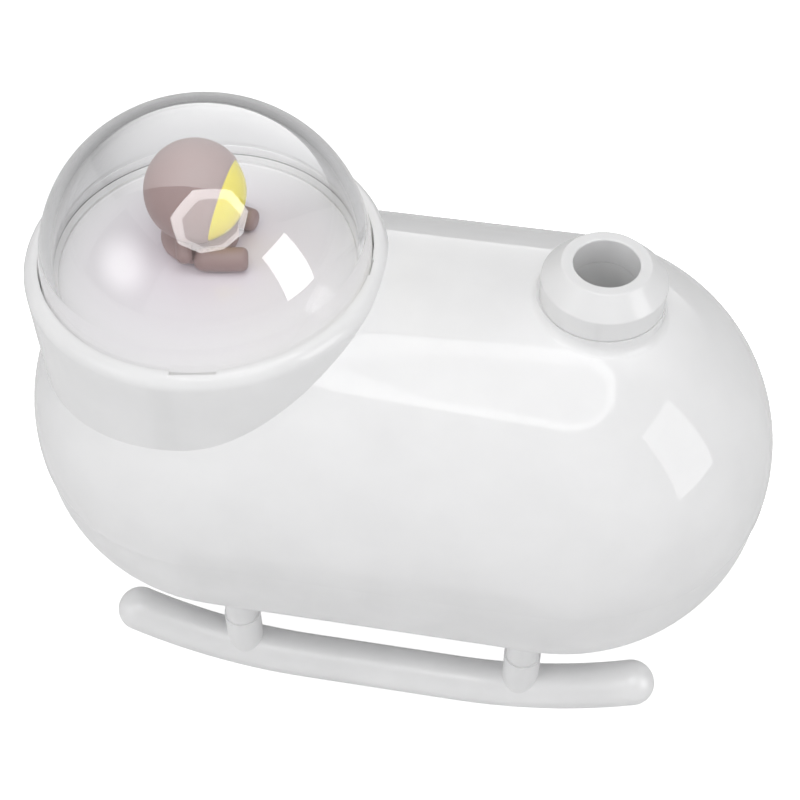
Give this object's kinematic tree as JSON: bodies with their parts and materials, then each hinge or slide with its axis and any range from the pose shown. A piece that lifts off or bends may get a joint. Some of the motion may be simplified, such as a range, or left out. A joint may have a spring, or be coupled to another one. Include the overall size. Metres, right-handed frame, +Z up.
{
  "type": "cool mist humidifier",
  "caption": "Capsule-shaped cool mist humidifier on two skids, with a clear lift-off display dome over a seated toy figure and a conical lift-off mist nozzle.",
  "frame": {"origin": "on the floor, below the middle of the capsule body", "axes": "+X towards the mist nozzle, +Z up, and the controls and power inlet at the back, on the +Y side"},
  "size_m": [0.18, 0.1, 0.1508],
  "materials": {
    "white_gloss": "injection-moulded ABS, high gloss",
    "white_satin": "injection-moulded ABS, fine satin texture",
    "nozzle_white": "injection-moulded ABS, gloss",
    "deck_white": "translucent white polycarbonate, high gloss",
    "clear_plastic": "clear polycarbonate, polished",
    "toy_taupe": "cast vinyl, satin",
    "toy_yellow": "moulded plastic, gloss",
    "natural_rubber": "silicone rubber, matt",
    "grey_rubber": "rubber, matt, self-adhesive",
    "tank_plastic": "translucent polypropylene",
    "inner_white": "moulded ABS",
    "black_plastic": "glass-filled nylon",
    "screw_steel": "zinc-plated steel",
    "inlet_metal": "nickel-plated steel",
    "fin_metal": "extruded, natural",
    "disc_metal": "piezo disc on a brass face",
    "board_green": "glass-epoxy board, solder mask",
    "part_black": "moulded component bodies",
    "lamp_white": "lamp bodies",
    "motor_steel": "deep-drawn can",
    "magnet_grey": "ferrite ring",
    "reed_glass": "glass tube"
  },
  "bodies": {
    "housing": {"upper_shell": "white_gloss", "base_shell": "white_satin", "front_skid": "white_satin", "rear_skid": "white_satin", "front_foot_pad": "grey_rubber", "rear_foot_pad": "grey_rubber", "leg_screws": "screw_steel", "shell_screws": "screw_steel", "display_deck": "deck_white", "light_reflector": "inner_white", "light_board": "board_green", "light_leds": "lamp_white", "dome_seal": "natural_rubber", "figure_hood": "toy_taupe", "figure_visor": "toy_yellow", "figure_body": "toy_taupe", "figure_arms": "toy_taupe", "figure_legs": "toy_taupe", "neck_seal": "natural_rubber", "water_tank": "tank_plastic", "tank_gasket": "natural_rubber", "tank_lid": "tank_plastic", "lid_screws": "screw_steel", "mist_disc_seal": "natural_rubber", "mist_disc": "disc_metal", "mist_disc_retainer": "inner_white", "retainer_screws": "screw_steel", "float_clip": "inner_white", "reed_switch": "reed_glass", "fan_housing": "black_plastic", "fan_cover": "black_plastic", "fan_screws": "screw_steel", "fan_motor": "motor_steel", "air_duct": "inner_white", "driver_board": "board_green", "board_screws": "screw_steel", "board_components": "part_black", "heat_sink": "fin_metal", "port_board": "board_green", "port_screws": "screw_steel", "power_inlet": "inlet_metal", "tact_switch": "part_black", "indicator_lens": "lamp_white", "indicator_led": "lamp_white"},
    "dome": {"clear_dome": "clear_plastic"},
    "nozzle": {"nozzle_cap": "nozzle_white", "mist_tube": "inner_white"},
    "power_button": {"power_button": "white_satin", "switch_plunger": "part_black"},
    "fan_rotor": {"fan_rotor": "black_plastic"},
    "level_float": {"level_float": "inner_white", "float_magnet": "magnet_grey"}
  },
  "joints": [
    {"name": "dome_lift", "type": "slide", "parent": "housing", "child": "dome", "axis": [0, 0, 1], "range_m": [0, 0.06]},
    {"name": "nozzle_lift", "type": "slide", "parent": "housing", "child": "nozzle", "axis": [0, 0, 1], "range_m": [0, 0.075]},
    {"name": "button_press", "type": "slide", "parent": "housing", "child": "power_button", "axis": [0, -1, 0], "range_m": [0, 0.0008], "stiffness_N_per_m": 1500},
    {"name": "fan_spin", "type": "hinge", "parent": "housing", "child": "fan_rotor", "pos_m": [-0.042, 0, 0.0421], "axis": [0, 0, 1], "continuous": true},
    {"name": "float_rise", "type": "slide", "parent": "housing", "child": "level_float", "axis": [0, 0, 1], "range_m": [0, 0.007]}
  ]
}
